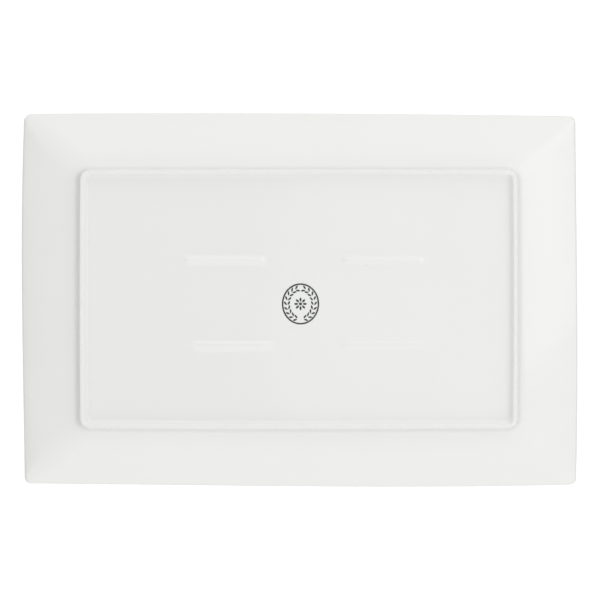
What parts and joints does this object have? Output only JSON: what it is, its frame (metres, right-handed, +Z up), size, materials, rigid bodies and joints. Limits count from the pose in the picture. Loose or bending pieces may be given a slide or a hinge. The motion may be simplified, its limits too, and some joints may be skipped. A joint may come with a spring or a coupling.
{
  "type": "serving platter",
  "caption": "Rectangular china serving platter with a flat well, a wide flared rim with mitred corners, a moulded foot ring, anti-sag bars underneath and a printed mark.",
  "frame": {"origin": "centre of the plane that the foot ring rests on", "axes": "+Z up, with the food side up; +X along the length; +Y across the width, towards the stems of the printed wreath"},
  "size_m": [0.36, 0.241, 0.025],
  "materials": {
    "porcelain": "clear gloss glaze over white porcelain, wiped bare and matt along the crest of the foot ring",
    "ink": "green-black print fired on, satin"
  },
  "bodies": {
    "root": {"platter_body": "porcelain", "backstamp_ring": "ink", "backstamp_wreath": "ink", "backstamp_rosette": "ink"}
  },
  "joints": []
}
